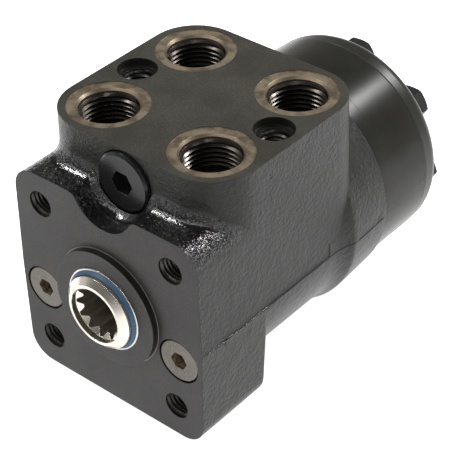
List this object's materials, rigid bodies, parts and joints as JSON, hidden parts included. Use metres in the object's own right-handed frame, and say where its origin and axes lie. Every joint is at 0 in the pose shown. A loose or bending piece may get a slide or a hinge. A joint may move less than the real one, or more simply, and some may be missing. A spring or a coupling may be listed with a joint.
{
  "type": "orbital steering unit",
  "caption": "Orbital hydraulic steering unit: cast housing with a splined shaft socket in front, threaded ports on top, and a gear set under a bolted end cover behind.",
  "frame": {"origin": "centre of the front mounting face, on the shaft axis", "axes": "+Y along the shaft, from the steering column towards the end cover; +Z out of the port face; +X to the right when looking along +Y"},
  "size_m": [0.0879, 0.1504, 0.1011],
  "materials": {
    "casting_paint": "dark charcoal semi-gloss paint over sand-cast iron, thinner on the machined faces",
    "band_paint": "smooth gloss black paint over turned steel",
    "cover_paint": "smooth dark grey paint over turned steel",
    "screw_paint": "black paint over zinc-plated steel",
    "plug_black": "black oxide and paint",
    "plug_zinc": "dull zinc plate",
    "seal_metal": "thin bright pressed steel",
    "spool_steel": "ground and lapped steel",
    "ground_steel": "ground steel",
    "forged_steel": "hardened steel, dark",
    "spring_steel": "oiled spring steel",
    "blue_rubber": "dark blue elastomer, matt",
    "black_rubber": "black elastomer, matt"
  },
  "bodies": {
    "housing": {"housing": "casting_paint", "dust_seal_case": "seal_metal", "dust_seal_lip": "blue_rubber", "shaft_seal": "black_rubber", "bearing_outer_race": "ground_steel", "distributor_plate": "band_paint", "gear_ring": "band_paint", "end_cover": "cover_paint", "housing_seal_ring": "black_rubber", "front_gear_seal_ring": "black_rubber", "rear_gear_seal_ring": "black_rubber", "special_screw": "screw_paint", "cover_screws": "screw_paint", "cover_washers": "screw_paint", "left_suction_pin": "ground_steel", "right_suction_pin": "ground_steel", "relief_plug": "plug_black", "relief_washer": "black_rubber", "relief_seat": "ground_steel", "relief_spring": "spring_steel", "left_shock_plug": "plug_zinc", "left_shock_washer": "black_rubber", "left_shock_seat": "ground_steel", "left_shock_spring": "spring_steel", "right_shock_plug": "plug_zinc", "right_shock_washer": "black_rubber", "right_shock_seat": "ground_steel", "right_shock_spring": "spring_steel"},
    "sleeve": {"sleeve": "spool_steel", "bearing_inner_race": "ground_steel", "spring_ring": "ground_steel", "flat_springs": "spring_steel", "bowed_springs": "spring_steel", "cross_pin": "ground_steel"},
    "spool": {"spool": "spool_steel"},
    "bearing_cage": {"bearing_cage": "ground_steel", "bearing_needles": "ground_steel"},
    "orbit": {"spacer": "forged_steel"},
    "rotor": {"rotor": "ground_steel"},
    "cardan": {"cardan_shaft": "forged_steel"},
    "relief_poppet": {"relief_poppet": "ground_steel"},
    "left_shock_ball": {"left_shock_ball": "ground_steel"},
    "right_shock_ball": {"right_shock_ball": "ground_steel"},
    "check_ball": {"check_ball": "ground_steel"},
    "left_suction_ball": {"left_suction_ball": "ground_steel"},
    "right_suction_ball": {"right_suction_ball": "ground_steel"}
  },
  "joints": [
    {"name": "sleeve_turn", "type": "hinge", "parent": "housing", "child": "sleeve", "pos_m": [0, 0.05, 0], "axis": [0, 1, 0], "continuous": true},
    {"name": "spool_turn", "type": "hinge", "parent": "sleeve", "child": "spool", "pos_m": [0, 0.05, 0], "axis": [0, 1, 0], "range_deg": [-10, 10], "stiffness_Nm_per_rad": 8, "deforming": ["flat_springs", "bowed_springs"]},
    {"name": "cage_turn", "type": "hinge", "parent": "housing", "child": "bearing_cage", "pos_m": [0, 0.014, 0], "axis": [0, 1, 0], "continuous": true},
    {"name": "rotor_orbit", "type": "hinge", "parent": "housing", "child": "orbit", "pos_m": [0, 0.118, 0], "axis": [0, 1, 0], "continuous": true},
    {"name": "rotor_turn", "type": "hinge", "parent": "orbit", "child": "rotor", "pos_m": [0, 0.118, -0.0034], "axis": [0, 1, 0], "continuous": true},
    {"name": "cardan_turn", "type": "hinge", "parent": "orbit", "child": "cardan", "pos_m": [0, 0.031, 0], "axis": [0, 0.9991, -0.0412], "continuous": true},
    {"name": "relief_lift", "type": "slide", "parent": "housing", "child": "relief_poppet", "axis": [0, -1, 0], "range_m": [0, 0.002], "stiffness_N_per_m": 20000, "deforming": ["relief_spring"]},
    {"name": "left_shock_lift", "type": "slide", "parent": "housing", "child": "left_shock_ball", "axis": [0, -1, 0], "range_m": [0, 0.001], "stiffness_N_per_m": 8000, "deforming": ["left_shock_spring"]},
    {"name": "right_shock_lift", "type": "slide", "parent": "housing", "child": "right_shock_ball", "axis": [0, -1, 0], "range_m": [0, 0.001], "stiffness_N_per_m": 8000, "deforming": ["right_shock_spring"]},
    {"name": "check_lift", "type": "slide", "parent": "housing", "child": "check_ball", "axis": [0, 1, 0], "range_m": [0, 0.002]},
    {"name": "left_suction_lift", "type": "slide", "parent": "housing", "child": "left_suction_ball", "axis": [0, 1, 0], "range_m": [0, 0.002]},
    {"name": "right_suction_lift", "type": "slide", "parent": "housing", "child": "right_suction_ball", "axis": [0, 1, 0], "range_m": [0, 0.002]}
  ],
  "couplings": [
    {"joint": "cage_turn", "follows": "sleeve_turn", "ratio": 0.5},
    {"joint": "rotor_orbit", "follows": "sleeve_turn", "ratio": -6},
    {"joint": "rotor_turn", "follows": "sleeve_turn", "ratio": 7},
    {"joint": "cardan_turn", "follows": "sleeve_turn", "ratio": 7}
  ]
}
